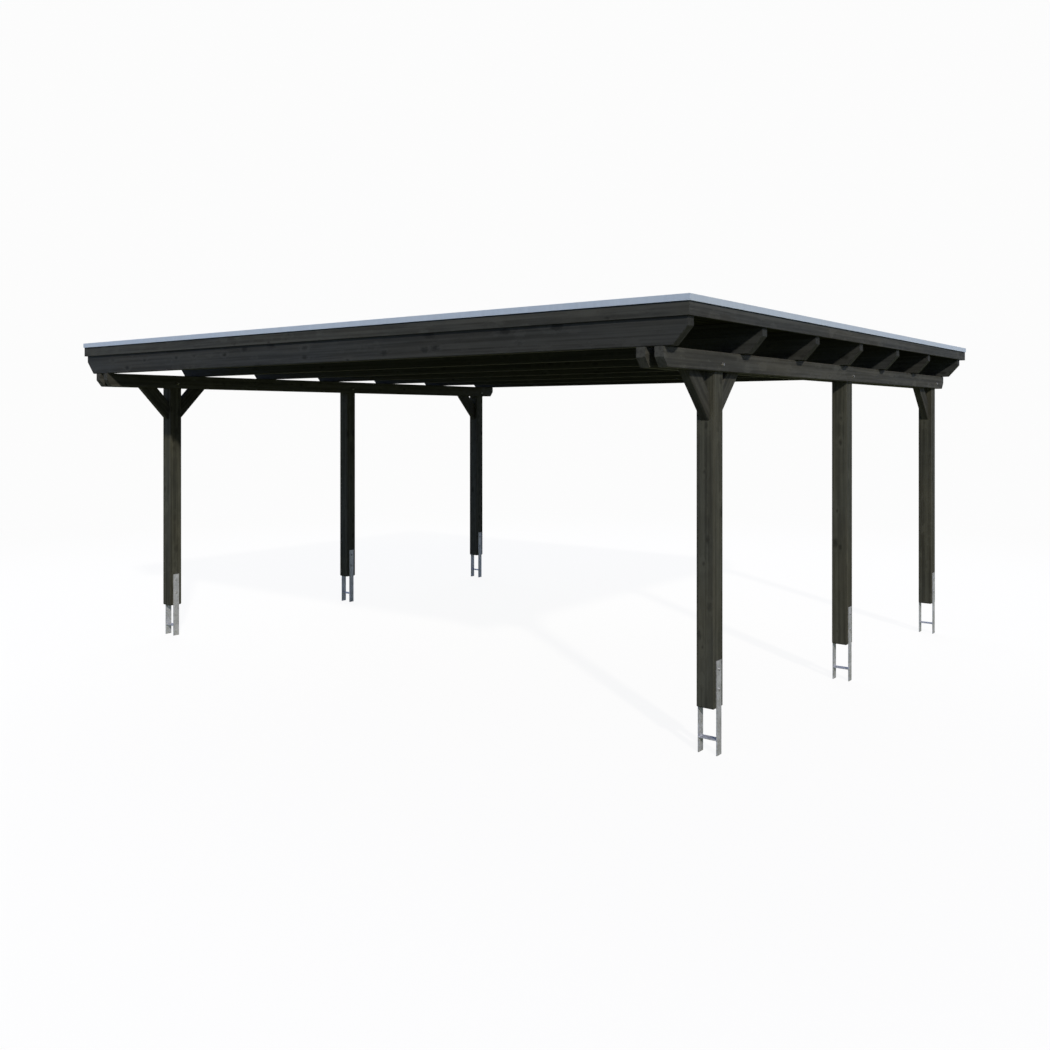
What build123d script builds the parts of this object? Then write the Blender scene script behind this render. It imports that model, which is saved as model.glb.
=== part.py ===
from build123d import *
import math
import os

os.makedirs("parts", exist_ok=True)

# Double carport: a flat boarded roof on seven rafters, two pairs of beams and six posts.
# The origin lies on the ground plane under the middle of the roof outline.
# +X points right as seen from the entrance, +Y to the back, +Z up. Sizes are in millimetres.

# Posts
post_side = 120
post_ground_gap = 288
post_shoulder_height = 2070
row_spacing = 5708
post_pitch = 2250
posts_per_row = 3
post_foot_bevel = 8

# Twin beams, one pair over each row of posts
beam_thickness = 60
beam_depth = 118
twin_gap = 60
front_overhang = 720
rear_overhang = 232
beam_nose = 60
beam_cut_back = 47

# Knee braces, clamped between the twin beams. The angle is to the post.
brace_angle = 43.5
brace_width = 120
brace_leg = 301
brace_top_drop = 10

# Rafters across the beams
rafter_thickness = 70
rafter_depth = 200
rafter_count = 7
side_overhang = 240
first_bay = 960
last_bay = 960
rafter_nose = 92
rafter_cut_back = 98

# Roof boarding, membrane and edges
deck_thickness = 19
rear_eave = 103
membrane_thickness = 2
fascia_thickness = 20
fascia_height = 115
fascia_cover = 38
trim_sheet = 2
trim_height = 38
trim_proud = 7
trim_lap = 30

# Post anchors of welded flat steel
anchor_length = 583
anchor_bar_width = 60
anchor_bar_thickness = 6
anchor_plate_height = 91
anchor_plate_thickness = 6

# Planed timber has its long edges eased by this much
arris = 4

# Levels
beam_base = post_ground_gap + post_shoulder_height
beam_top = beam_base + beam_depth
rafter_top = beam_top + rafter_depth
deck_top = rafter_top + deck_thickness
fascia_base = rafter_top - fascia_cover
fascia_top = fascia_base + fascia_height

# Plan
beam_length = front_overhang + (posts_per_row - 1) * post_pitch + rear_overhang
deck_width = row_spacing + 2 * side_overhang
deck_depth = beam_length + rear_eave
roof_width = deck_width + 2 * fascia_thickness
roof_depth = deck_depth + 2 * fascia_thickness
beam_front = -deck_depth / 2
beam_rear = beam_front + beam_length
front_post_y = beam_front + front_overhang
rows = {"left": -row_spacing / 2, "right": row_spacing / 2}
stations = {
    "front": front_post_y,
    "middle": front_post_y + post_pitch,
    "rear": front_post_y + 2 * post_pitch,
}


def keep_piece(part, name):
    """Label a finished piece and write it to its own file."""
    part.label = name
    export_step(part, f"parts/{name}.step")


def nosed_outline(near_end, far_end, underside, depth, nose, cut_back):
    """Corners, seen from the side, of a timber with upright noses and a slope cut back below them."""
    top = underside + depth
    return [
        (near_end + cut_back, underside),
        (far_end - cut_back, underside),
        (far_end, top - nose),
        (far_end, top),
        (near_end, top),
        (near_end, top - nose),
    ]


def make_post(x, y):
    """A square post with a rebate on each side of its head, which leaves a tongue between the beams."""
    rebate_centre = (twin_gap + beam_thickness) / 2
    with BuildPart() as post:
        with BuildSketch(Plane.XY.offset(post_ground_gap)):
            with Locations((x, y)):
                Rectangle(post_side, post_side)
        extrude(amount=beam_top - post_ground_gap)
        chamfer(post.faces().sort_by(Axis.Z)[0].edges(), post_foot_bevel)
        chamfer(post.edges().filter_by(Axis.Z), arris)
        with BuildSketch(Plane.XY.offset(beam_base)):
            with Locations((x - rebate_centre, y), (x + rebate_centre, y)):
                Rectangle(beam_thickness, post_side)
        extrude(amount=beam_depth, mode=Mode.SUBTRACT)
    return post.part


def make_anchor(x, y):
    """Two upright bars on the side faces of the post, joined by a plate low down between them."""
    bar_centre = (post_side + anchor_bar_thickness) / 2
    with BuildPart() as anchor:
        with BuildSketch(Plane.XY):
            with Locations((x - bar_centre, y), (x + bar_centre, y)):
                Rectangle(anchor_bar_thickness, anchor_bar_width)
        extrude(amount=anchor_length)
        with BuildSketch(Plane.XY.offset(anchor_plate_height)):
            with Locations((x, y)):
                Rectangle(post_side, anchor_bar_width)
        extrude(amount=anchor_plate_thickness)
    return anchor.part


def make_beam(x):
    """One board of a twin beam, seen from the side along the row of posts."""
    corners = nosed_outline(beam_front, beam_rear, beam_base, beam_depth, beam_nose, beam_cut_back)
    with BuildPart() as beam:
        with BuildSketch(Plane.YZ.offset(x - beam_thickness / 2)):
            with BuildLine():
                Polyline(*corners, close=True)
            make_face()
        extrude(amount=beam_thickness)
        chamfer(beam.edges().filter_by(Axis.Y), arris)
    return beam.part


def make_brace(x, post_y, way):
    """A slanting brace from the post face up between the twin beams, to the front or the back."""
    foot_y = post_y + way * post_side / 2
    top = beam_top - brace_top_drop
    lean = math.radians(brace_angle)
    inner_leg = brace_leg - brace_width / math.sin(lean)
    with BuildPart() as brace:
        with BuildSketch(Plane.YZ.offset(x - twin_gap / 2)):
            with BuildLine():
                Polyline(
                    (foot_y, beam_base - brace_leg),
                    (foot_y + way * (top - beam_base + brace_leg) * math.tan(lean), top),
                    (foot_y + way * (top - beam_base + inner_leg) * math.tan(lean), top),
                    (foot_y, beam_base - inner_leg),
                    close=True,
                )
            make_face()
        extrude(amount=twin_gap)
        long_way = Axis((0, 0, 0), (0, way * math.sin(lean), math.cos(lean)))
        chamfer(brace.edges().filter_by(long_way), arris)
    return brace.part


def make_rafter(front_face):
    """One rafter with nosed ends, from side to side across both twin beams."""
    back_face = front_face + rafter_thickness
    end = deck_width / 2
    corners = nosed_outline(-end, end, beam_top, rafter_depth, rafter_nose, rafter_cut_back)
    with BuildPart() as rafter:
        with BuildSketch(Plane.XZ.offset(-back_face)):
            with BuildLine():
                Polyline(*corners, close=True)
            make_face()
        extrude(amount=rafter_thickness)
        chamfer(rafter.edges().filter_by(Axis.X), arris)
    return rafter.part


def make_fascia(outward, reach, half_run):
    """An upright edge board, mitred at both ends."""
    run = outward.cross(Vector(0, 0, 1))
    with BuildPart() as fascia:
        with BuildSketch(Plane(origin=outward * reach, x_dir=outward, z_dir=run)):
            with Locations((-fascia_thickness / 2, fascia_base + fascia_height / 2)):
                Rectangle(fascia_thickness, fascia_height)
        extrude(amount=half_run, both=True)
        for way in (-1, 1):
            corner = outward * reach + run * way * half_run
            split(bisect_by=Plane(origin=corner, z_dir=run * way - outward), keep=Keep.BOTTOM)
    return fascia.part


def make_trim(outward, reach, half_run):
    """A bent metal edge over the top of the fascia, with a drip lip below, mitred at both ends."""
    run = outward.cross(Vector(0, 0, 1))
    top = fascia_top + trim_sheet
    bottom = top - trim_height
    with BuildPart() as trim:
        with BuildSketch(Plane(origin=outward * reach, x_dir=outward, z_dir=run)):
            with BuildLine():
                Polyline(
                    (-trim_lap, top),
                    (trim_proud, top),
                    (trim_proud, bottom),
                    (0, bottom),
                    (0, bottom + trim_sheet),
                    (trim_proud - trim_sheet, bottom + trim_sheet),
                    (trim_proud - trim_sheet, top - trim_sheet),
                    (-trim_lap, top - trim_sheet),
                    close=True,
                )
            make_face()
        extrude(amount=half_run + trim_proud, both=True)
        for way in (-1, 1):
            corner = outward * reach + run * way * half_run
            split(bisect_by=Plane(origin=corner, z_dir=run * way - outward), keep=Keep.BOTTOM)
    return trim.part


# Posts and anchors
for side, row_x in rows.items():
    for place, post_y in stations.items():
        keep_piece(make_post(row_x, post_y), f"post_{side}_{place}")
        keep_piece(make_anchor(row_x, post_y), f"anchor_{side}_{place}")

# Twin beams, outer and inner
beam_offset = (twin_gap + beam_thickness) / 2
for side, row_x in rows.items():
    outward_way = math.copysign(1, row_x)
    keep_piece(make_beam(row_x + outward_way * beam_offset), f"beam_{side}_outer")
    keep_piece(make_beam(row_x - outward_way * beam_offset), f"beam_{side}_inner")

# Braces: two at each front post, one at each rear post
for side, row_x in rows.items():
    keep_piece(make_brace(row_x, stations["front"], -1), f"brace_{side}_front")
    keep_piece(make_brace(row_x, stations["front"], 1), f"brace_{side}_second")
    keep_piece(make_brace(row_x, stations["rear"], -1), f"brace_{side}_rear")

# Rafters: the end ones flush with the beam ends, the others evenly spaced between the end bays
second_rafter = beam_front + first_bay
last_rafter = beam_rear - rafter_thickness
rafter_pitch = (last_rafter - last_bay - second_rafter) / (rafter_count - 3)
rafter_faces = [beam_front]
for step in range(rafter_count - 2):
    rafter_faces.append(second_rafter + step * rafter_pitch)
rafter_faces.append(last_rafter)
for number, front_face in enumerate(rafter_faces, start=1):
    keep_piece(make_rafter(front_face), f"rafter_{number}")

# Roof boarding on the rafters
with BuildPart() as roof_deck:
    with BuildSketch(Plane.XY.offset(rafter_top)):
        Rectangle(deck_width, deck_depth)
    extrude(amount=deck_thickness)
keep_piece(roof_deck.part, "roof_deck")

# Membrane over the boarding, turned up against the fascia boards
with BuildPart() as roof_membrane:
    with BuildSketch(Plane.XY.offset(deck_top)):
        Rectangle(deck_width, deck_depth)
    extrude(amount=fascia_top - deck_top)
    with BuildSketch(Plane.XY.offset(deck_top + membrane_thickness)):
        Rectangle(deck_width - 2 * membrane_thickness, deck_depth - 2 * membrane_thickness)
    extrude(amount=fascia_top - deck_top, mode=Mode.SUBTRACT)
keep_piece(roof_membrane.part, "roof_membrane")

# Fascia boards and metal trim on the four edges of the roof
edges = {
    "front": (Vector(0, -1, 0), roof_depth / 2, roof_width / 2),
    "rear": (Vector(0, 1, 0), roof_depth / 2, roof_width / 2),
    "left": (Vector(-1, 0, 0), roof_width / 2, roof_depth / 2),
    "right": (Vector(1, 0, 0), roof_width / 2, roof_depth / 2),
}
for edge, (outward, reach, half_run) in edges.items():
    keep_piece(make_fascia(outward, reach, half_run), f"fascia_{edge}")
    keep_piece(make_trim(outward, reach, half_run), f"trim_{edge}")
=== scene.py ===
# %% [markdown]
# # A double carport of dark stained timber
# The carport is an open frame: six posts on steel anchors, twin beams, knee braces, seven
# rafters and a flat boarded roof with a waterproof sheet and a metal edge. The imported CAD
# model is loaded as a fixed frame. Its timbers already have the right shapes, so they keep
# them and get finishes. Boards, roof sheet, bolts and weld beads are made here from arrays.

# %% Load the frame
import math

import bpy
import numpy as np
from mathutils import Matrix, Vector


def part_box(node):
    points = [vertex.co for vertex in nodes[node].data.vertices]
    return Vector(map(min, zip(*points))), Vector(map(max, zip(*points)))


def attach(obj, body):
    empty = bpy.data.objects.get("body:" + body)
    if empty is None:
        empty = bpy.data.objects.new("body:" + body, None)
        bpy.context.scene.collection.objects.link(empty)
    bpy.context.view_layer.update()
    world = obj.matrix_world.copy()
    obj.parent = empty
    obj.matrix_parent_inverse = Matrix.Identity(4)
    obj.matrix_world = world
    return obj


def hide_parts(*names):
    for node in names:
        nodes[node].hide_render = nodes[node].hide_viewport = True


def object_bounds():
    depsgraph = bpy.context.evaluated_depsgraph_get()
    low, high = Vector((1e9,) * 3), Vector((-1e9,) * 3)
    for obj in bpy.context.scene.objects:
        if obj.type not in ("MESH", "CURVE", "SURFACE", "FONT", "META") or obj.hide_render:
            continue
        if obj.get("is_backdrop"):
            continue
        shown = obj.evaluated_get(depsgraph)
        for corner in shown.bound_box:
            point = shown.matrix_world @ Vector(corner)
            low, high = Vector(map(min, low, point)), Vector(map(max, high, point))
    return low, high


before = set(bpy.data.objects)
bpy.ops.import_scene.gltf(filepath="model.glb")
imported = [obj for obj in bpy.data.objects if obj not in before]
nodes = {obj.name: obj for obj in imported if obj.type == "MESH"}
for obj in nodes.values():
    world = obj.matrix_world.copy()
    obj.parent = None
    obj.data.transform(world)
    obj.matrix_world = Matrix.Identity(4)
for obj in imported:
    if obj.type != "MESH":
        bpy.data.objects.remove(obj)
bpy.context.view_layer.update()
scene = bpy.context.scene

# %% [markdown]
# ## Sizes that the new pieces need
# A maker who adds boards and bolts to a finished frame measures the frame. The same is done
# here: nearly every place is read from the boxes of the nodes, so the pieces follow when
# the CAD model changes. Only what a box can't tell is written down as a size of its own.

# %% Measure the frame
SIDES = ("left", "right")
PLACES = ("front", "middle", "rear")


def corners(node):
    """Lowest and highest corner of a node as two arrays of three numbers."""
    low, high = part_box(node)
    return np.array(low), np.array(high)


deck_low, deck_high = corners("roof_deck")
sheet_low, sheet_high = corners("roof_membrane")
beam_low, beam_high = corners("beam_right_outer")
anchor_high = corners("anchor_right_front")[1]
post_spots = {}
for side in SIDES:
    for place in PLACES:
        low, high = corners(f"post_{side}_{place}")
        post_spots[side, place] = (low + high) / 2
row_x = post_spots["right", "front"][0]
print("deck:", np.round(deck_high - deck_low, 3), "row at x =", round(row_x, 3))

# %% [markdown]
# ## Turning arrays into meshes
# Every new piece is a closed surface: rings of points, each ring one outline, joined by
# quads and shut by a cap at both ends. Writing the faces as whole arrays is quick, and one
# small test of the enclosed volume makes sure that they point outwards.


# %% Mesh helpers
def ring_faces(rings, around):
    """Quads between neighbouring rings. Corner (i, j) is joined to (i, j+1), (i+1, j+1), (i+1, j)."""
    i, j = np.meshgrid(np.arange(rings - 1), np.arange(around), indexing="ij")
    k = (j + 1) % around
    quads = np.stack([i * around + j, i * around + k, (i + 1) * around + k, (i + 1) * around + j], -1)
    return quads.reshape(-1, 4)


def closed_form(rings):
    """Points and faces of a closed body from rings of shape (rings, around, 3), with both caps."""
    count, around = rings.shape[:2]
    faces = ring_faces(count, around).tolist()
    faces.append(list(range(around))[::-1])
    faces.append(list(range((count - 1) * around, count * around)))
    return rings.reshape(-1, 3), faces


def volume(points, faces):
    """Enclosed volume: the sum over fan triangles of a . (b x c) / 6."""
    fans = [(f[0], f[n], f[n + 1]) for f in faces for n in range(1, len(f) - 1)]
    a, b, c = points[np.array(fans)].transpose(1, 0, 2)
    return float((a * np.cross(b, c)).sum() / 6)


unit_cube = np.array([[(0, 0, z), (1, 0, z), (1, 1, z), (0, 1, z)] for z in (0, 1)], float)
print("a cube of side 1 measures", round(abs(volume(*closed_form(unit_cube))), 6))


# %% Copies and finished pieces
def repeat(points, faces, places, turns=None):
    """Copies of one body at each place, joined. turns holds a 3 x 3 matrix for each copy."""
    places = np.asarray(places, float)
    turns = np.broadcast_to(np.eye(3), (len(places), 3, 3)) if turns is None else np.asarray(turns)
    many = np.einsum("nij,pj->npi", turns, points) + places[:, None, :]
    shifted = [[p + n * len(points) for p in f] for n in range(len(places)) for f in faces]
    return many.reshape(-1, 3), shifted


def add_piece(name, points, faces, material, replaced=()):
    """Makes the object, turns its faces outwards if they aren't, hangs it from the root body and hides
    the nodes it replaces.
    """
    if volume(points, faces) < 0:
        faces = [f[::-1] for f in faces]
    mesh = bpy.data.meshes.new(name)
    mesh.from_pydata(points.tolist(), [], faces)
    mesh.update()
    mesh.materials.append(material)
    piece = bpy.data.objects.new(name, mesh)
    scene.collection.objects.link(piece)
    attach(piece, "root")
    if replaced:
        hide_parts(*replaced)
    print(name, "-", len(mesh.polygons), "faces")


# %% [markdown]
# ## Building shaders
# Materials are trees of small nodes. A picture would have to be wrapped round every timber
# and would show its seams, so all patterns are worked out in space instead. Short helpers
# keep the recipes readable: they add a node and fill its sockets, do one step of
# arithmetic, or lay one colour over another. Effects that several finishes share become
# node groups with named sockets, which give out masks and heights.


# %% Node helpers
def feed(tree, socket, value):
    """Links a socket to another node's output, or sets it where the value is a number or colour."""
    if isinstance(value, bpy.types.NodeSocket):
        tree.links.new(value, socket)
    else:
        socket.default_value = value


def add_node(tree, kind, sockets=None, **settings):
    """Adds a node, makes its settings and feeds the sockets, given by name or number."""
    made = tree.nodes.new("ShaderNode" + kind)
    for key, value in settings.items():
        setattr(made, key, value)
    for key, value in (sockets or {}).items():
        feed(tree, made.inputs[key], value)
    return made


# %% Arithmetic helpers
def sums(tree, operation, *values, clamp=False):
    """One step of arithmetic on up to three numbers or sockets."""
    made = add_node(tree, "Math", dict(enumerate(values)), operation=operation, use_clamp=clamp)
    return made.outputs[0]


def vector_sums(tree, operation, *values):
    """One step of arithmetic on vectors. LENGTH gives a number."""
    made = add_node(tree, "VectorMath", dict(enumerate(values)), operation=operation)
    return made.outputs["Value" if operation == "LENGTH" else "Vector"]


def ramp(tree, value, start, end, low=0.0, high=1.0):
    """A smooth step of value from start to end, put out between low and high."""
    sockets = {"Value": value, "From Min": start, "From Max": end, "To Min": low, "To Max": high}
    made = add_node(tree, "MapRange", sockets, interpolation_type="SMOOTHSTEP")
    return made.outputs["Result"]


def noise(tree, vector, scale, detail=2.0, roughness=0.5):
    """Smooth noise of about 0 to 1. scale is one number, or one for each of X, Y and Z."""
    scaled = vector_sums(tree, "MULTIPLY", vector, np.broadcast_to(scale, 3).tolist())
    sockets = {"Vector": scaled, "Scale": 1.0, "Detail": detail, "Roughness": roughness}
    return add_node(tree, "TexNoise", sockets).outputs[0]


# %% Colour helpers
def rgba(colour, factor=1.0):
    """A colour with alpha 1, times one factor or one for each of red, green and blue."""
    return (*(np.array(colour) * factor), 1.0)


def blend_colours(tree, factor, first, second):
    """Mixes two colours by a factor from 0 to 1."""
    made = add_node(tree, "Mix", data_type="RGBA")
    for name, value in (("Factor_Float", factor), ("A_Color", first), ("B_Color", second)):
        feed(tree, next(s for s in made.inputs if s.identifier == name), value)
    return next(s for s in made.outputs if s.identifier == "Result_Color")


def lay_over(tree, skin, mask, strength, colour):
    """Lays a colour over the skin through a mask of 0 to 1, and with this strength at most."""
    return blend_colours(tree, sums(tree, "MULTIPLY", mask, strength), skin, colour)


# %% Group helpers
def new_group(name, inputs, outputs):
    """An empty shader group. inputs and outputs map a socket's name to its kind."""
    group = bpy.data.node_groups.new(name, "ShaderNodeTree")
    for direction, sockets in (("INPUT", inputs), ("OUTPUT", outputs)):
        for label, kind in sockets.items():
            group.interface.new_socket(label, in_out=direction, socket_type="NodeSocket" + kind)
    return group, group.nodes.new("NodeGroupInput").outputs, group.nodes.new("NodeGroupOutput").inputs


def put_out(group, outlet, **values):
    """Links what a group has worked out to its output sockets."""
    for key, value in values.items():
        group.links.new(value, outlet[key])
    print("group:", group.name, "-", len(group.nodes), "nodes")


def use_group(tree, group, **values):
    """Places a group in a material. Names of sockets are given with _ for the space."""
    made = tree.nodes.new("ShaderNodeGroup")
    made.node_tree = group
    for key, value in values.items():
        feed(tree, made.inputs[key.replace("_", " ")], value)
    return made.outputs


# %% Material helpers
def new_material(name):
    """A material with its tree, its shader, the place on the piece and the direction it faces."""
    material = bpy.data.materials.new(name)
    material.use_nodes = True
    tree = material.node_tree
    place = add_node(tree, "TexCoord").outputs["Object"]
    normal = add_node(tree, "NewGeometry").outputs["True Normal"]
    return material, tree, tree.nodes["Principled BSDF"], place, normal


def add_bump(tree, shader, height, strength, distance):
    """Roughens the shader's normal by a height. distance is what a height of 1 stands for in metres."""
    bump = add_node(tree, "Bump", {"Strength": strength, "Distance": distance, "Height": height})
    tree.links.new(bump.outputs[0], shader.inputs["Normal"])


# %% [markdown]
# ## Knots
# Knots are where branches left the trunk. They could be set one by one, but so many timbers
# would need hundreds. The cells of a Voronoi pattern give one knot each, and the random
# colour of a cell serves as its luck: red sets the size of the knot, green how dark it is,
# and blue how clearly the paler wood round it shows.


# %% Knots and the halos round them
KNOT_CELLS = (13.0, 13.0, 4.6)
KNOT_SQUASH = (1.0, 1.0, 0.55)
SMALLEST_KNOT = 0.35
FAINTEST_KNOT = 0.4
RAGGED_KNOT, RAGGED_HALO = 1.1, 0.04
HALO_EDGE, HALO_CORE = 0.046, 0.014


def knots(group, position, size):
    """Masks of the knots and their halos, and the clearness of the halo.

    Both are smooth steps of the distance to the point of the cell, in which the way along
    the board counts for less, so that they are oval. For the knot it is divided by the
    radius, and noise is added to both distances so that the rims are ragged.
    """
    cells = vector_sums(group, "MULTIPLY", position, KNOT_CELLS)
    voronoi = add_node(group, "TexVoronoi", {"Vector": cells, "Scale": 1.0, "Randomness": 0.95}).outputs
    centre = vector_sums(group, "DIVIDE", voronoi["Position"], KNOT_CELLS)
    offset = vector_sums(group, "SUBTRACT", position, centre)
    reach = vector_sums(group, "LENGTH", vector_sums(group, "MULTIPLY", offset, KNOT_SQUASH))
    luck = add_node(group, "SeparateColor", {"Color": voronoi["Color"]}).outputs
    ragged = sums(group, "SUBTRACT", noise(group, position, (110.0, 110.0, 60.0)), 0.5)
    radius = sums(group, "MULTIPLY", size, sums(group, "ADD", luck["Red"], SMALLEST_KNOT))
    ratio = sums(group, "MULTIPLY_ADD", ragged, RAGGED_KNOT, sums(group, "DIVIDE", reach, radius))
    depth = sums(group, "MULTIPLY_ADD", luck["Green"], 1 - FAINTEST_KNOT, FAINTEST_KNOT)
    knot = sums(group, "MULTIPLY", ramp(group, ratio, 1.15, 0.25), depth)
    halo = ramp(group, sums(group, "MULTIPLY_ADD", ragged, RAGGED_HALO, reach), HALO_EDGE, HALO_CORE)
    return knot, halo, luck["Blue"]


print("a knot cell measures", [round(1 / count, 3) for count in KNOT_CELLS], "m")


# %% [markdown]
# ## The figure of planed spruce
# Softwood has growth rings. Where a face cuts them they show as long nested curves. A solid
# noise that is stretched along the board gives such curves when its height is cut into
# contour lines, and because it is solid the lines run on round every edge. Near a knot the
# height is raised, so the lines bend round it. Broad streaks and fine fibres are noise too,
# stretched still more.


# %% Group: wood figure
RING_BEND = 0.06
FIBRE_SHARE, RING_SHARE = 0.35, 0.65
KNOT_SINK = 0.8


def make_wood_figure():
    """Rings are half a sine of (slow noise + bend round knots) times Rings, plus one half.

    The group works along local Z. Halo is left as strong as the luck of its knot says.
    """
    group, inlet, outlet = new_group(
        "wood_figure",
        {"Vector": "Vector", "Rings": "Float", "Knot Size": "Float"},
        {"Figure": "Float", "Streaks": "Float", "Knot": "Float", "Halo": "Float", "Height": "Float"},
    )
    position = inlet["Vector"]
    knot, halo, clearness = knots(group, position, inlet["Knot Size"])
    slow = noise(group, position, (7.0, 7.0, 0.16), roughness=0.4)
    bent = sums(group, "MULTIPLY_ADD", halo, RING_BEND, slow)
    phase = sums(group, "MULTIPLY", bent, inlet["Rings"])
    rings = sums(group, "MULTIPLY_ADD", sums(group, "SINE", phase), 0.5, 0.5)
    broad = noise(group, position, (46.0, 46.0, 0.6), detail=4.0, roughness=0.6)
    fibre = noise(group, position, (420.0, 420.0, 6.0))
    ring_part = sums(group, "MULTIPLY", rings, RING_SHARE)
    figure = sums(group, "MULTIPLY_ADD", fibre, FIBRE_SHARE, ring_part, clamp=True)
    put_out(
        group,
        outlet,
        Figure=figure,
        Streaks=ramp(group, broad, 0.37, 0.63),
        Knot=knot,
        Halo=sums(group, "MULTIPLY", halo, clearness),
        Height=sums(group, "SUBTRACT", figure, sums(group, "MULTIPLY", knot, KNOT_SINK)),
    )
    return group


wood_figure = make_wood_figure()

# %% [markdown]
# ## Cut ends and eased edges
# End grain drinks a little more stain and turns slightly darker. So do the long edges,
# where the plane has cut across the fibres, and as stain gathers there unevenly the mask is
# patchy. Both can be told from the direction a face points: along the run it is an end,
# between the two cross directions it is an eased edge. That needs no painting by hand and
# holds on every timber.


# %% Group: cut ends and eased edges
def make_ends_and_edges():
    """End steps with the normal's part along Z, Edge with the smaller of its parts in X and Y."""
    group, inlet, outlet = new_group(
        "ends_and_edges", {"Vector": "Vector", "Normal": "Vector"}, {"End": "Float", "Edge": "Float"}
    )
    parts = vector_sums(group, "ABSOLUTE", inlet["Normal"])
    facing = add_node(group, "SeparateXYZ", {0: parts}).outputs
    between = sums(group, "MINIMUM", facing["X"], facing["Y"])
    patchy = ramp(group, noise(group, inlet["Vector"], (60.0, 60.0, 9.0)), 0.3, 0.62, 0.45, 1.0)
    edge = sums(group, "MULTIPLY", ramp(group, between, 0.2, 0.5), patchy)
    put_out(group, outlet, End=ramp(group, facing["Z"], 0.3, 0.6), Edge=edge)
    return group


ends_and_edges = make_ends_and_edges()

# %% [markdown]
# ## Dust and the marks of weather
# Outdoors a fine dust settles on what faces up, and rain leaves soft blotches. The dust
# grows with the upward part of the normal and is broken up by a fine noise. The blotches
# are a much wider noise, whichever way the surface faces.


# %% Group: weather
def make_weather():
    """Dust is a step of the normal's Z times a step of fine noise. Blotches is a step of wide noise."""
    group, inlet, outlet = new_group(
        "weather", {"Vector": "Vector", "Normal": "Vector"}, {"Dust": "Float", "Blotches": "Float"}
    )
    upward = add_node(group, "SeparateXYZ", {0: inlet["Normal"]}).outputs["Z"]
    broken = ramp(group, noise(group, inlet["Vector"], 35.0, detail=4.0), 0.35, 0.7, 0.5, 1.0)
    dust = sums(group, "MULTIPLY", ramp(group, upward, 0.2, 0.95), broken)
    wide = noise(group, inlet["Vector"], 2.3, detail=3.0)
    put_out(group, outlet, Dust=dust, Blotches=ramp(group, wide, 0.3, 0.7))
    return group


weather = make_weather()

# %% [markdown]
# ## Dark stained timber
# The stain is a thin, nearly black glaze. The grain shows through faintly: hard late wood
# takes less of it and stays paler, and so does the wood round a knot. A board is never one
# colour from end to end, so wide clouds make it lighter and darker, and another drifts
# between a warmer and a cooler black.


# %% Timber tone
FIGURE_SHARE, STREAK_SHARE = 0.3, 0.7
BUNDLE_SWING = 0.12
CLOUD_SCALES = ((5.0, 5.0, 1.7), (26.0, 26.0, 10.0))
HALO_LIFT = 0.55


def stain_tone(tree, wood, along, clouds):
    """How pale the stain is, from 0 to 1: figure and streaks, then clouds of three sizes, then halos."""
    streaks = sums(tree, "MULTIPLY", wood["Streaks"], STREAK_SHARE)
    tone = sums(tree, "MULTIPLY_ADD", wood["Figure"], FIGURE_SHARE, streaks)
    bundle = noise(tree, along, (1.9, 1.9, 0.15), detail=1.0)
    tone = sums(tree, "ADD", tone, ramp(tree, bundle, 0.3, 0.7, -BUNDLE_SWING, BUNDLE_SWING))
    for scale in CLOUD_SCALES:
        cloud = ramp(tree, noise(tree, along, scale), 0.3, 0.7, -clouds, clouds)
        tone = sums(tree, "ADD", tone, cloud)
    return sums(tree, "MULTIPLY_ADD", wood["Halo"], HALO_LIFT, tone, clamp=True)


print("clouds are about", [round(1 / scale[2], 2) for scale in CLOUD_SCALES], "m long on a board")


# %% [markdown]
# ## The timber's layers
# Over the tone lie knots, ends, edges and dust, each with its mask. From a few millimetres
# below the drip edge upwards the fascia boards get a nearly black band of painted shadow,
# the shade that the edge trim casts on them. Posts stand, beams run to the back and rafters
# run across, so the pattern is turned for each by a Mapping node, and every use has its own
# depth of stain, because boards from different bundles never match.


# %% Timber skin
WARM, COOL, DRIFT = (1.25, 1.08, 0.86), (0.86, 1.0, 1.3), 0.17
# Strength of each dark part and its share of the stain's colour
DARK_PARTS = {"Knot": (0.85, 0.3), "End": (0.12, 0.5), "Edge": (0.6, 0.72)}
TIMBER_DUST, TIMBER_DUST_STRENGTH = (0.16, 0.15, 0.13), 0.3
# Painted shadow of the edge trim on the fascia: its tint, its strength, and the soft step below and
# above where it starts
TRIM_SHADOW_TINT, TRIM_SHADOW_STRENGTH = (0.1, 0.2, 0.35), 0.75
TRIM_SHADOW_SOFT_BELOW, TRIM_SHADOW_SOFT_ABOVE = 0.003, 0.002


def timber_skin(tree, colour, tone, grain, along, masks, dust):
    """The stain goes from (1 - grain) to (1 + grain) times its colour, then the layers follow."""
    skin = blend_colours(tree, tone, rgba(colour, 1 - grain), rgba(colour, 1 + grain))
    drift = ramp(tree, noise(tree, along, (3.1, 3.1, 1.1)), 0.32, 0.68)
    drifting = blend_colours(tree, drift, rgba(colour, WARM), rgba(colour, COOL))
    skin = blend_colours(tree, DRIFT, skin, drifting)
    for part, (strength, share) in DARK_PARTS.items():
        skin = lay_over(tree, skin, masks[part], strength, rgba(colour, share))
    return lay_over(tree, skin, dust, TIMBER_DUST_STRENGTH, rgba(TIMBER_DUST))


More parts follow.
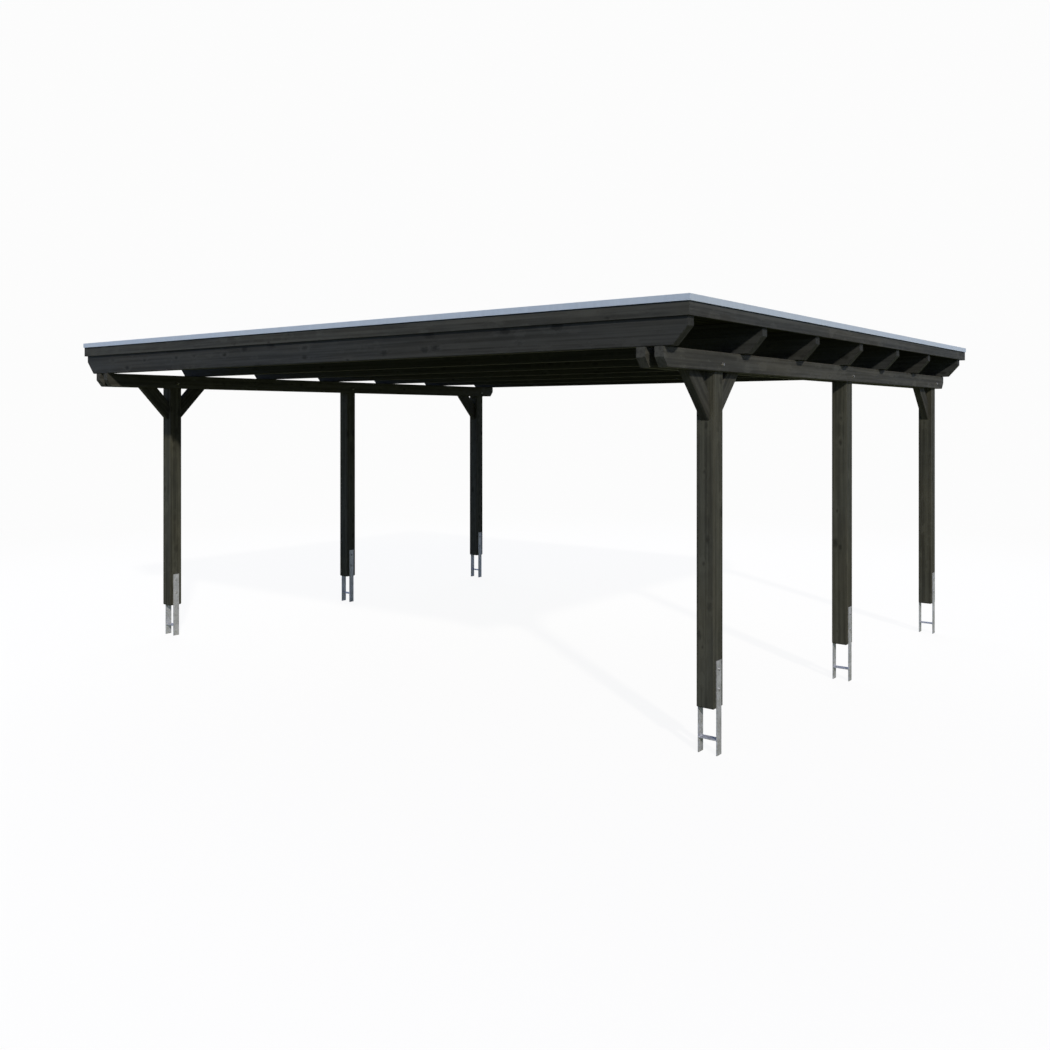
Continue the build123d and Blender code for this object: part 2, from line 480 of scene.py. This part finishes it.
def paint_trim_shadow_above(tree, skin, colour, place, height):
    """Paints the edge trim's shadow: darkens the skin above a height with a soft step that is a few
    millimetres high.
    """
    level = add_node(tree, "SeparateXYZ", {0: place}).outputs["Z"]
    painted_shadow = ramp(tree, level, height - TRIM_SHADOW_SOFT_BELOW, height + TRIM_SHADOW_SOFT_ABOVE, 0.0, TRIM_SHADOW_STRENGTH)
    return blend_colours(tree, painted_shadow, skin, rgba(colour, TRIM_SHADOW_TINT))


# %% Timber material
RINGS = 95.0
TIMBER_ROUGHNESS, FIGURE_POLISH, DUST_MATT = 0.72, -0.12, 0.15


def stained_timber(
    name, turn, colour, seed, knot_size=0.014, grain=0.5, clouds=0.14, gloss=0.1, painted_shadow_from=None
):
    """A stained timber whose grain runs along Z after the turn, in degrees round X, Y and Z.

    seed moves the pattern, so that no two finishes show the same knots. Above the height
    given last, the timber is darker with a painted shadow, the shade of the edge trim.
    """
    material, tree, shader, place, normal = new_material(name)
    turned = {"Rotation": [math.radians(v) for v in turn]}
    start = (seed, seed * 0.7, seed * 1.3)
    along = add_node(tree, "Mapping", {"Vector": place, "Location": start, **turned}).outputs[0]
    facing = add_node(tree, "Mapping", {"Vector": normal, **turned}, vector_type="VECTOR").outputs[0]
    wood = use_group(tree, wood_figure, Vector=along, Rings=RINGS, Knot_Size=knot_size)
    cut = use_group(tree, ends_and_edges, Vector=along, Normal=facing)
    air = use_group(tree, weather, Vector=place, Normal=normal)
    tone = stain_tone(tree, wood, along, clouds)
    masks = {"Knot": wood["Knot"], "End": cut["End"], "Edge": cut["Edge"]}
    skin = timber_skin(tree, colour, tone, grain, along, masks, air["Dust"])
    # Painted shadow: the shade that the edge trim casts on the fascia
    if painted_shadow_from is not None:
        skin = paint_trim_shadow_above(tree, skin, colour, place, painted_shadow_from)
    tree.links.new(skin, shader.inputs["Base Color"])
    roughness = sums(tree, "MULTIPLY_ADD", wood["Figure"], FIGURE_POLISH, TIMBER_ROUGHNESS)
    roughness = sums(tree, "MULTIPLY_ADD", air["Dust"], DUST_MATT, roughness)
    tree.links.new(roughness, shader.inputs["Roughness"])
    shader.inputs["Specular IOR Level"].default_value = gloss
    add_bump(tree, shader, wood["Height"], 0.35, 0.0006)
    return material


# %% Timbers of the frame
UPRIGHT, ALONG_Y, ALONG_X = (0.0, 0.0, 0.0), (90.0, 0.0, 0.0), (0.0, 90.0, 0.0)
BRACE_LEAN = 43.5
RISING, FALLING = (BRACE_LEAN, 0.0, 0.0), (-BRACE_LEAN, 0.0, 0.0)
POST_STAIN, BEAM_STAIN = (0.0464, 0.0483, 0.0394), (0.0447, 0.0467, 0.0435)
RAFTER_STAIN, BRACE_STAIN = (0.0300, 0.0326, 0.0328), (0.0344, 0.0355, 0.0314)
FRONT_STAIN, SIDE_STAIN = (0.0390, 0.0418, 0.0395), (0.0470, 0.0500, 0.0485)
# How far below the trim's lower edge the painted shadow on the fascia starts
TRIM_SHADOW_DROP = 0.008
drip_edge = corners("trim_front")[0][2]
post_look = {"knot_size": 0.023, "grain": 0.44, "clouds": 0.1}
beam_look = {"grain": 0.44, "clouds": 0.09}
rafter_look = {"knot_size": 0.026, "grain": 0.36, "clouds": 0.07}
# The fascia boards carry the painted shadow of the edge trim
fascia_look = {"grain": 0.4, "clouds": 0.1, "painted_shadow_from": drip_edge - TRIM_SHADOW_DROP}
timber = {
    "post": stained_timber("post_timber", UPRIGHT, POST_STAIN, 0.55, **post_look),
    "beam": stained_timber("beam_timber", ALONG_Y, BEAM_STAIN, 2.45, **beam_look),
    "rafter": stained_timber("rafter_timber", ALONG_X, RAFTER_STAIN, 4.6, **rafter_look),
    "fascia_x": stained_timber("fascia_timber_front", ALONG_X, FRONT_STAIN, 7.7, **fascia_look),
    "fascia_y": stained_timber("fascia_timber_side", ALONG_Y, SIDE_STAIN, 9.2, **fascia_look),
    "brace_up_back": stained_timber("brace_timber_rising", RISING, BRACE_STAIN, 2.6),
    "brace_up_front": stained_timber("brace_timber_falling", FALLING, BRACE_STAIN, 5.3),
}
print("timber finishes:", len(timber))

# %% [markdown]
# ## Galvanised steel
# The anchors are dipped in molten zinc, which freezes in flat crystals of slightly
# different greys, the spangle. A Voronoi pattern gives each crystal one value. It feeds
# the colour and the roughness, as the crystals differ most in how they mirror the light.


# %% Group: zinc spangle
SPANGLE_WOBBLE = (0.006, 0.006, 0.006)
CRYSTAL_RELIEF = 0.4


def make_zinc_spangle():
    """Voronoi cells of a position that noise has shaken a little, so their sides aren't straight."""
    group, inlet, outlet = new_group(
        "zinc_spangle",
        {"Vector": "Vector", "Per Metre": "Float"},
        {"Crystal": "Float", "Cloud": "Float", "Height": "Float"},
    )
    position = inlet["Vector"]
    wobble = add_node(group, "TexNoise", {"Vector": position, "Scale": 90.0, "Detail": 2.0})
    shift = vector_sums(group, "MULTIPLY", wobble.outputs["Color"], SPANGLE_WOBBLE)
    shaken = vector_sums(group, "ADD", position, shift)
    cells = {"Vector": shaken, "Scale": inlet["Per Metre"], "Randomness": 1.0}
    colours = add_node(group, "TexVoronoi", cells).outputs["Color"]
    crystal = add_node(group, "SeparateColor", {"Color": colours}).outputs["Green"]
    cloud = noise(group, position, 14.0, detail=3.0)
    height = sums(group, "MULTIPLY_ADD", crystal, CRYSTAL_RELIEF, cloud)
    put_out(group, outlet, Crystal=crystal, Cloud=ramp(group, cloud, 0.3, 0.7), Height=height)
    return group


zinc_spangle = make_zinc_spangle()

# %% [markdown]
# ## Three kinds of zinc
# The anchors have the thick, bright coat of the zinc bath. Bolts are too small for visible
# spangle, so theirs has very fine crystals. The beam bolts are dark and still shiny, and
# those in the anchors, near the wet ground, have turned duller and paler.


# %% Steel materials
CRYSTAL_SHARE, CLOUD_SHARE = 0.6, 0.4
STEEL_DUST, STEEL_DUST_STRENGTH = (0.42, 0.40, 0.37), 0.35
CRYSTAL_ROUGHNESS = 0.22


def zinc_steel(name, colour, contrast, per_metre, roughness, metal):
    """Zinc-coated steel with so many crystals to a metre.

    colour is its middle grey, and the crystals leave it by the share that contrast gives.
    """
    material, tree, shader, place, normal = new_material(name)
    zinc = use_group(tree, zinc_spangle, Vector=place, Per_Metre=per_metre)
    air = use_group(tree, weather, Vector=place, Normal=normal)
    clouds = sums(tree, "MULTIPLY", zinc["Cloud"], CLOUD_SHARE)
    mixed = sums(tree, "MULTIPLY_ADD", zinc["Crystal"], CRYSTAL_SHARE, clouds)
    skin = blend_colours(tree, mixed, rgba(colour, 1 - contrast), rgba(colour, 1 + contrast))
    skin = lay_over(tree, skin, air["Dust"], STEEL_DUST_STRENGTH, rgba(STEEL_DUST))
    tree.links.new(skin, shader.inputs["Base Color"])
    mirrored = sums(tree, "MULTIPLY_ADD", mixed, CRYSTAL_ROUGHNESS, roughness)
    tree.links.new(mirrored, shader.inputs["Roughness"])
    shader.inputs["Metallic"].default_value = metal
    add_bump(tree, shader, zinc["Height"], 0.25, 0.0004)
    return material


anchor_steel = zinc_steel("galvanised_anchor_steel", (0.525, 0.555, 0.610), 0.20, 95.0, 0.38, 0.62)
bolt_steel = zinc_steel("zinc_plated_bolt_steel", (0.24, 0.245, 0.24), 0.10, 400.0, 0.36, 0.8)
dull_bolt_steel = zinc_steel("dull_bolt_steel", (0.37, 0.39, 0.42), 0.10, 400.0, 0.42, 0.55)
print("steels:", anchor_steel.name, bolt_steel.name, dull_bolt_steel.name)

# %% [markdown]
# ## Coated metal edge trim
# The bent sheet round the roof has a satin, pale blue-grey coat. It is nearly even, so a
# faint cloudiness, thin run marks from rain and a slight orange-peel bump are enough.


# %% Trim material
COAT_DEEP, COAT_PALE, COAT_DUST = (0.40, 0.48, 0.58), (0.46, 0.545, 0.65), (0.45, 0.43, 0.39)


def coated_trim():
    """Half of the streaks' value comes from wide blotches and half from thin runs down the face."""
    material, tree, shader, place, normal = new_material("coated_edge_trim")
    air = use_group(tree, weather, Vector=place, Normal=normal)
    runs = ramp(tree, noise(tree, place, (38.0, 38.0, 2.0), detail=3.0), 0.35, 0.7, 0.0, 0.5)
    streaked = sums(tree, "MULTIPLY_ADD", air["Blotches"], 0.5, runs)
    skin = blend_colours(tree, streaked, rgba(COAT_DEEP), rgba(COAT_PALE))
    skin = lay_over(tree, skin, air["Dust"], 0.2, rgba(COAT_DUST))
    tree.links.new(skin, shader.inputs["Base Color"])
    tree.links.new(sums(tree, "MULTIPLY_ADD", streaked, 0.12, 0.36), shader.inputs["Roughness"])
    shader.inputs["Metallic"].default_value = 0.15
    add_bump(tree, shader, noise(tree, place, 900.0, detail=1.0), 0.08, 0.0002)
    return material


trim_coat = coated_trim()
print("trim finish:", trim_coat.name)

# %% [markdown]
# ## Give the CAD nodes their finishes
# A node's name says what it is, so the first words of the name choose the material. The
# deck and the membrane aren't in the list, because pieces made further on stand for them.

# %% Assign materials to the nodes
finishes = {
    "post_": timber["post"],
    "beam_": timber["beam"],
    "rafter_": timber["rafter"],
    "fascia_front": timber["fascia_x"],
    "fascia_rear": timber["fascia_x"],
    "fascia_left": timber["fascia_y"],
    "fascia_right": timber["fascia_y"],
    "anchor_": anchor_steel,
    "trim_": trim_coat,
}
for side in SIDES:
    finishes[f"brace_{side}_front"] = timber["brace_up_front"]
    finishes[f"brace_{side}_second"] = timber["brace_up_back"]
    finishes[f"brace_{side}_rear"] = timber["brace_up_front"]
dressed = 0
for name, node in nodes.items():
    chosen = [material for start, material in finishes.items() if name.startswith(start)]
    if chosen:
        node.data.materials.clear()
        node.data.materials.append(chosen[0])
        dressed += 1
print("dressed:", dressed, "of", len(nodes), "nodes")

# %% [markdown]
# ## Roof boards
# The roof is closed with tongue-and-groove boards that run from front to back over the
# rafters. From below each joint shows as a small V. One board is a closed outline carried
# along Y, and all boards are copies of it side by side, so a few dozen faces each will do.

# %% Outline of a roof board
BOARD_COVER, BOARD_GAP = 0.1204, 0.0005
VEE = 0.005
TONGUE, TONGUE_PLAY = 0.006, 0.0006
GROOVE_LOW, GROOVE_HIGH = 0.42, 0.66


def board_outline(width, height):
    """Corners of one board in X and Z: a V on both lower edges, tongue right and groove left."""
    slit, lip = height * GROOVE_LOW, height * GROOVE_HIGH
    tip, root = width + TONGUE, TONGUE + TONGUE_PLAY
    tongue = [(width, slit), (tip, slit + TONGUE_PLAY), (tip, lip - TONGUE_PLAY), (width, lip)]
    groove = [(0, lip + TONGUE_PLAY), (root, lip), (root, slit), (0, slit - TONGUE_PLAY)]
    base = [(VEE, 0), (width - VEE, 0), (width, VEE)]
    return np.array([*base, *tongue, (width, height), (0, height), *groove, (0, VEE)])


board_count = round((deck_high[0] - deck_low[0]) / BOARD_COVER)
cover = (deck_high[0] - deck_low[0]) / board_count
outline = board_outline(cover - BOARD_GAP, deck_high[2] - deck_low[2])
print("boards:", board_count, "each covers", round(cover, 4), "and has", len(outline), "corners")

# %% Roof boards
BOARD_END_GAP = 0.001
ROOF_STAIN = (0.0285, 0.0300, 0.0208)
ends = np.array([deck_low[1] + BOARD_END_GAP, deck_high[1] - BOARD_END_GAP])
rings = np.empty((2, len(outline), 3))
rings[..., 0] = outline[:, 0]
rings[..., 1] = ends[:, None]
rings[..., 2] = outline[:, 1]
starts = deck_low[0] + cover * np.arange(board_count)
places = np.stack([starts, np.zeros(board_count), np.full(board_count, deck_low[2])], -1)
board_points, board_faces = repeat(*closed_form(rings), places)
# The last tongue is sawn off at the edge of the roof
board_points[:, 0] = np.minimum(board_points[:, 0], deck_high[0])
roof_timber = stained_timber("roof_board_timber", ALONG_Y, ROOF_STAIN, 3.3, gloss=0.0)
add_piece("roof_boards", board_points, board_faces, roof_timber, ["roof_deck"])

# %% [markdown]
# ## Waterproof sheet
# A rubber sheet lies on the boards and is turned up behind the fascia on all four sides. It
# is glued from strips, and each lap shows as a low ridge with one sharp edge. The surface is
# a height over X and Y. Rings of points across the roof hold its top and its flat underside.

# %% Shape of the roof sheet
SHEET = 0.0016
STRIPS = 4
LAP_WIDTH, LAP_RISE = 0.075, 0.0013
LAP_FRONT, LAP_BACK = 0.002, 0.02
# Distances from the edge, and the share of the turned-up height that the sheet has there
RIM_DISTANCES = np.array([0.0, 0.002, 0.0026, 0.005, 0.010, 0.018, 0.030])
RIM_SHARES = np.array([1, 1, 0.8, 0.4, 0.17, 0.05, 0])
RIM_BELOW_TOP = 0.0005
WAVE, CALM_EDGE, LAP_FADE = 0.0005, 0.25, 0.03
strip_width = float(sheet_high[0] - sheet_low[0]) / STRIPS
seams = sheet_low[0] + strip_width * np.arange(1, STRIPS)
print("strips:", STRIPS, "laps at x =", np.round(seams, 3))


def sheet_height(x, y):
    """Height over the boards: the sheet, the laps, a slow waviness and the turned-up rim.

    A lap rises over LAP_FRONT and falls over LAP_BACK. The waves are a sum of two sines whose
    phases sway. The rim depends on the distance to the nearest edge: upright for 2 mm, then
    a round cove.
    """
    edge = np.minimum.reduce([x - sheet_low[0], sheet_high[0] - x, y - sheet_low[1], sheet_high[1] - y])
    full = sheet_high[2] - sheet_low[2] - RIM_BELOW_TOP
    rim = np.interp(edge, RIM_DISTANCES, full * RIM_SHARES)
    rise = [np.clip((x - s) / LAP_FRONT, 0, 1) for s in seams]
    fall = [np.clip((s + LAP_WIDTH - x) / LAP_BACK, 0, 1) for s in seams]
    laps = sum(r * f for r, f in zip(rise, fall))
    waves = WAVE * (np.sin(x * 9.1 + 1.7 * np.sin(y * 2.3)) + np.sin(y * 7.3 + 2.1 * np.sin(x * 1.9)))
    calm = np.clip(edge / CALM_EDGE, 0, 1)
    return SHEET + LAP_RISE * laps * np.clip(edge / LAP_FADE, 0, 1) + waves * calm + rim


# %% Points of the roof sheet
GRID_STEP = 0.11
RIM_CLEAR = 0.06


def even_and_fine(low, high, step, extra=()):
    """Coordinates from low to high at an even step, with more of them in the turned-up edges."""
    middle = np.linspace(low + RIM_CLEAR, high - RIM_CLEAR, round((high - low) / step))
    extra = np.asarray(extra, float).ravel()
    return np.unique(np.concatenate([low + RIM_DISTANCES, middle, high - RIM_DISTANCES, extra]))


lap_lines = seams[:, None] + np.array([0.0, LAP_FRONT, LAP_BACK, LAP_WIDTH - LAP_BACK, LAP_WIDTH])
xs = even_and_fine(sheet_low[0], sheet_high[0], GRID_STEP, lap_lines)
ys = even_and_fine(sheet_low[1], sheet_high[1], GRID_STEP)
grid_x, grid_y = np.meshgrid(xs, ys, indexing="ij")
upper = np.stack([grid_x, grid_y, sheet_low[2] + sheet_height(grid_x, grid_y)], -1)
under = upper[:, [-1, 0]].copy()
under[..., 2] = sheet_low[2]
sheet_points, sheet_faces = closed_form(np.concatenate([upper, under], 1))
print("sheet:", len(xs), "by", len(ys), "points on top")

# %% [markdown]
# ## Weathered rubber
# The rubber was black and has greyed. Puddles dry up and leave faint pale tide marks, which
# are the contour lines of a wide noise. The laps are darker, because glue has kept them
# clean, and a pale line of silt lies beside each. Their place is worked out from X with a
# remainder, so the marks sit on the ridges of the mesh.


# %% Rubber material
RUBBER_DEEP, RUBBER_PALE = (0.035, 0.038, 0.043), (0.047, 0.050, 0.056)
TIDE_MARK, TIDE_RINGS, TIDE_STRENGTH = (0.115, 0.117, 0.115), 2.2, 0.10
LAP_COLOUR, LAP_STRENGTH = (0.024, 0.026, 0.029), 0.55
SILT, SILT_BEYOND_LAP = (0.125, 0.125, 0.12), 0.004
SILT_EDGE, SILT_CORE = 0.016, 0.002
RUBBER_DUST, RUBBER_DUST_STRENGTH = (0.16, 0.165, 0.168), 0.18
BEFORE_FIRST_LAP = 0.5


def weathered_rubber():
    """The place in a strip is the remainder of X over the strip's width. The first strip has no lap."""
    material, tree, shader, place, normal = new_material("roof_rubber")
    air = use_group(tree, weather, Vector=place, Normal=normal)
    puddles = noise(tree, place, 0.7, detail=3.0, roughness=0.45)
    tide = sums(tree, "PINGPONG", sums(tree, "MULTIPLY", puddles, TIDE_RINGS), 0.5)
    tide = ramp(tree, tide, 0.40, 0.5, 0.0, TIDE_STRENGTH)
    skin = blend_colours(tree, air["Blotches"], rgba(RUBBER_DEEP), rgba(RUBBER_PALE))
    skin = blend_colours(tree, tide, skin, rgba(TIDE_MARK))
    x = add_node(tree, "SeparateXYZ", {0: place}).outputs["X"]
    across = sums(tree, "SUBTRACT", x, float(sheet_low[0]))
    strip = sums(tree, "MODULO", across, strip_width)
    inside = sums(tree, "GREATER_THAN", across, BEFORE_FIRST_LAP)
    lap = sums(tree, "MULTIPLY", sums(tree, "LESS_THAN", strip, LAP_WIDTH), inside)
    skin = lay_over(tree, skin, lap, LAP_STRENGTH, rgba(LAP_COLOUR))
    beside = sums(tree, "ABSOLUTE", sums(tree, "SUBTRACT", strip, LAP_WIDTH + SILT_BEYOND_LAP))
    silt = sums(tree, "MULTIPLY", ramp(tree, beside, SILT_EDGE, SILT_CORE), inside)
    silt = sums(tree, "MULTIPLY", silt, ramp(tree, puddles, 0.3, 0.6, 0.15, 0.6))
    skin = blend_colours(tree, silt, skin, rgba(SILT))
    skin = lay_over(tree, skin, air["Dust"], RUBBER_DUST_STRENGTH, rgba(RUBBER_DUST))
    tree.links.new(skin, shader.inputs["Base Color"])
    tree.links.new(sums(tree, "MULTIPLY_ADD", air["Blotches"], 0.10, 0.78), shader.inputs["Roughness"])
    shader.inputs["Specular IOR Level"].default_value = 0.2
    add_bump(tree, shader, noise(tree, place, 260.0), 0.3, 0.0005)
    return material


rubber = weathered_rubber()
add_piece("roof_sheet", sheet_points, sheet_faces, rubber, ["roof_membrane"])

# %% [markdown]
# ## Bolts
# One bolt at each post clamps the two beams and the tongue of the post. Two more on each
# side hold the post in its anchor. A bolt head is a stack of rings: round for the washer,
# six-sided for the head, and cut off by a cone at the top. The far end has a nut instead.

# %% Bolt heads and nuts
AROUND = 24
ACROSS_FLATS, WASHER = 0.017, 0.012
CROWN = 0.485
# Height of a head or nut, and of the washer under it
BEAM_HEAD, ANCHOR_HEAD, NUT = (0.0075, 0.0025), (0.0065, 0.002), (0.009, 0.0025)
STUD, STUD_HEIGHT, STUD_BEVEL = 0.005, 0.007, 0.001


def hexagon(angle):
    """Distance to the side of a hexagon: half its width over the cosine of the angle from the flat."""
    return ACROSS_FLATS / 2 / np.cos((angle % (math.pi / 3)) - math.pi / 6)


def fastener(head_height, washer_height, stud=0.0, stud_height=0.0):
    """Rings of a washer with a head or nut on it, along Z, with a stud beyond the nut if one is given.

    Each ring of the stack is a radius, round or six-sided, and the height it lies at.
    """
    angle = np.arange(AROUND) * 2 * math.pi / AROUND
    flat = hexagon(angle)
    top = washer_height + head_height
    stack = [
        (WASHER, 0.0),
        (WASHER, washer_height * 0.75),
        (WASHER * 0.96, washer_height),
        (flat * 0.97, washer_height),
        (flat, washer_height + head_height * 0.08),
        (flat, top - head_height * 0.16),
        (ACROSS_FLATS * CROWN, top),
    ]
    if stud:
        far = top + stud_height
        stack += [(stud, top), (stud, far - STUD_BEVEL), (stud * 0.8, far)]
    radius = np.array([np.broadcast_to(r, AROUND) for r, _ in stack])
    rings = np.empty((len(stack), AROUND, 3))
    rings[..., 0] = radius * np.cos(angle)
    rings[..., 1] = radius * np.sin(angle)
    rings[..., 2] = np.array([z for _, z in stack])[:, None]
    return closed_form(rings)


head, anchor_head = fastener(*BEAM_HEAD), fastener(*ANCHOR_HEAD)
nut = fastener(*NUT, stud=STUD, stud_height=STUD_HEIGHT)
print("points in a head:", len(head[0]), "and in a nut:", len(nut[0]))

# %% Set the bolts
# Turns that lay a body's Z along +X or -X
FACING_X = {1: [[0, 0, 1], [1, 0, 0], [0, 1, 0]], -1: [[0, 0, -1], [-1, 0, 0], [0, 1, 0]]}
BOLT_ABOVE_BEAM_BASE = 0.043
ANCHOR_BOLT_DROPS = (0.053, 0.176)
beam_reach = beam_high[0] - row_x
anchor_reach = anchor_high[0] - row_x
bolt_z = beam_low[2] + BOLT_ABOVE_BEAM_BASE
heads, nuts, anchor_bolts = [], [], []
for (side, _), (x, y, _) in post_spots.items():
    outward = 1 if side == "right" else -1
    heads.append((outward, (x + outward * beam_reach, y, bolt_z)))
    nuts.append((-outward, (x - outward * beam_reach, y, bolt_z)))
    for way in (1, -1):
        for drop in ANCHOR_BOLT_DROPS:
            anchor_bolts.append((way, (x + way * anchor_reach, y, anchor_high[2] - drop)))
for name, form, spots, finish in (
    ("beam_bolt_heads", head, heads, bolt_steel),
    ("beam_bolt_nuts", nut, nuts, bolt_steel),
    ("anchor_bolts", anchor_head, anchor_bolts, dull_bolt_steel),
):
    points, faces = repeat(*form, [spot for _, spot in spots], [FACING_X[way] for way, _ in spots])
    add_piece(name, points, faces, finish)

# %% [markdown]
# ## Weld beads
# The cross plate of each anchor is welded to its bars. A bead fills the corner between two
# plates. Its outline is a quarter circle, and it swells in small ripples where the welder
# paused. The zinc is laid on after welding, so the bead has the same coat as the bars.

# %% Weld beads
PLATE_LOW, PLATE_HIGH = 0.091, 0.097
BAR_THICKNESS = 0.006
BEAD_LEG, BEAD_HALF_LENGTH, BEAD_STATIONS = 0.0045, 0.0285, 53
RIPPLES, RIPPLE_SWELL = 13, 0.10
END_SHARPNESS, END_SIZE = 16, 0.04
bead_y = np.linspace(-BEAD_HALF_LENGTH, BEAD_HALF_LENGTH, BEAD_STATIONS)
swell = 1 + RIPPLE_SWELL * np.abs(np.sin(bead_y / bead_y[-1] * RIPPLES * math.pi / 2))
taper = np.sqrt(np.clip(1 - (bead_y / bead_y[-1]) ** END_SHARPNESS, END_SIZE, 1))
turn = np.linspace(0, math.pi / 2, 6)
rings = np.zeros((len(bead_y), len(turn) + 1, 3))
rings[:, 1:, 0] = BEAD_LEG * (swell * taper)[:, None] * np.cos(turn)
rings[:, 1:, 2] = BEAD_LEG * (swell * taper)[:, None] * np.sin(turn)
rings[..., 1] = bead_y[:, None]
half_gap = anchor_reach - BAR_THICKNESS
spots, turns = [], []
for x, y, _ in post_spots.values():
    for across in (1, -1):
        for up, height in ((1, PLATE_HIGH), (-1, PLATE_LOW)):
            spots.append((x - across * half_gap, y, height))
            turns.append(np.diag([across, across * up, up]))
bead_points, bead_faces = repeat(*closed_form(rings), spots, turns)
add_piece("anchor_weld_beads", bead_points, bead_faces, anchor_steel)

# %% [markdown]
# ## Stage: a pale floor
# The floor is almost white and shows the shadow only faintly, because most of what the
# camera sees of it is its own glow. Near the carport a small share of it is a lit surface,
# and the glow is lowered by part of that share, so that no rim shows. To other rays the
# floor is a dim surface, which keeps the underside of the roof as dark as it is outdoors.

# %% Floor material
BACKDROP = 0.975
FLOOR_SHARE, GLOW_DIP = 0.09, 0.66
LIT_WITHIN, GLOWS_BEYOND = 6.0, 13.0
FLOOR_TO_OTHERS = (0.225, 0.240, 0.125)
floor_material = bpy.data.materials.new("pale_floor")
floor_material.use_nodes = True
tree = floor_material.node_tree
tree.nodes.remove(tree.nodes["Principled BSDF"])
away = vector_sums(tree, "LENGTH", add_node(tree, "TexCoord").outputs["Object"])
near = ramp(tree, away, GLOWS_BEYOND, LIT_WITHIN)
seen = add_node(tree, "LightPath").outputs["Is Camera Ray"]
brightness = sums(tree, "MULTIPLY_ADD", near, -FLOOR_SHARE * GLOW_DIP, BACKDROP)
glow = add_node(tree, "Emission", {"Strength": brightness})
to_camera = blend_colours(tree, near, rgba((0, 0, 0)), rgba((FLOOR_SHARE,) * 3))
tint = blend_colours(tree, seen, rgba(FLOOR_TO_OTHERS), to_camera)
lit = add_node(tree, "BsdfDiffuse", {"Color": tint})
glow_if_seen = add_node(tree, "MixShader", {0: seen, 2: glow.outputs[0]})
both = add_node(tree, "AddShader", {0: lit.outputs[0], 1: glow_if_seen.outputs[0]})
tree.links.new(both.outputs[0], tree.nodes["Material Output"].inputs["Surface"])
print("floor finish:", len(tree.nodes), "nodes")

# %% Floor
FLOOR_REACH, FLOOR_DROP = 150.0, 0.0005
square = np.array([(-1, -1, 0), (1, -1, 0), (1, 1, 0), (-1, 1, 0)], float) * FLOOR_REACH
floor_mesh = bpy.data.meshes.new("floor")
floor_mesh.from_pydata((square - (0, 0, FLOOR_DROP)).tolist(), [], [(0, 1, 2, 3)])
floor_mesh.materials.append(floor_material)
floor = bpy.data.objects.new("floor", floor_mesh)
scene.collection.objects.link(floor)
floor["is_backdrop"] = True
print("floor:", 2 * FLOOR_REACH, "m wide")

# %% [markdown]
# ## Surroundings
# Soft light comes from all round. It is brighter in a band above the horizon than overhead,
# because the upright faces and the underside of an open roof get their light from there.
# The band is bluer on the left than on the right. The camera itself sees a plain backdrop.

# %% Surroundings
OVERHEAD = (0.124, 0.157, 0.298)
BAND_LEFT, BAND_RIGHT = (0.85, 1.05, 1.57), (0.67, 0.71, 0.85)
world = bpy.data.worlds.new("studio")
scene.world = world
world.use_nodes = True
tree = world.node_tree
seen = add_node(tree, "LightPath").outputs["Is Camera Ray"]
towards = add_node(tree, "SeparateXYZ", {0: add_node(tree, "TexCoord").outputs["Generated"]}).outputs
low_down = ramp(tree, towards["Z"], 0.30, 0.06)
rightwards = ramp(tree, towards["X"], -0.2, 0.7)
band = blend_colours(tree, rightwards, rgba(BAND_LEFT), rgba(BAND_RIGHT))
sky = blend_colours(tree, low_down, rgba(OVERHEAD), band)
sky = blend_colours(tree, seen, sky, rgba((BACKDROP,) * 3))
tree.links.new(sky, tree.nodes["Background"].inputs["Color"])
print("surroundings:", len(tree.nodes), "nodes")

# %% [markdown]
# ## Key and fill light
# The shadows under the edge trim and behind the rafters are crisp and fall to the back
# left, so the key is a small, far source at the front right, not quite 30 degrees high. A
# very wide fill of about the same strength comes from the back left. It lights only the
# sides that the camera doesn't see, so that the carport is as readable from behind, and it
# is kept out of reflections in the zinc.


# %% Key and fill
def far_light(name, comes_from, strength, width, colour):
    """A sun lamp shining from the direction comes_from. width is its angle across in degrees."""
    data = bpy.data.lights.new(name, "SUN")
    data.energy = math.pi * strength
    data.angle = math.radians(width)
    data.color = colour
    lamp = bpy.data.objects.new(name, data)
    lamp.rotation_euler = Vector(comes_from).to_track_quat("Z", "Y").to_euler()
    scene.collection.objects.link(lamp)
    print("light:", name, "strength", strength)
    return lamp


far_light("key", (1.0, -0.75, 0.66), 0.971, 2.5, (1.0, 0.902, 0.762))
fill = far_light("fill", (-1.0, 1.0, 0.38), 1.0, 70.0, (0.90, 0.96, 1.0))
fill.visible_glossy = False

# %% [markdown]
# ## Camera
# The picture was taken with a level camera a little lower than the beams, so all posts are
# upright in it. The view is lowered with the lens shift, not by tilting the camera.

# %% Camera
EYE, HEADING = (5.8111, -7.7745, 2.0719), 37.5712
SENSOR, LENS, LENS_SHIFT = 36.0, 35.0953, -0.10177
FURTHEST_SEEN = 400.0
camera_data = bpy.data.cameras.new("camera")
camera_data.sensor_width = SENSOR
camera_data.lens = LENS
camera_data.shift_y = LENS_SHIFT
camera_data.clip_end = FURTHEST_SEEN
camera = bpy.data.objects.new("camera", camera_data)
camera.location = EYE
camera.rotation_euler = (math.radians(90.0), 0.0, math.radians(HEADING))
scene.collection.objects.link(camera)
scene.camera = camera
scene.view_settings.view_transform = "Standard"
print("camera at", EYE, "heading", HEADING)

# %% [markdown]
# ## The box of the dressed model
# The box of the dressed model is printed at the end.

# %% Print the box
low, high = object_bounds()
print("box now:", [round(v, 3) for v in (*low, *high)])
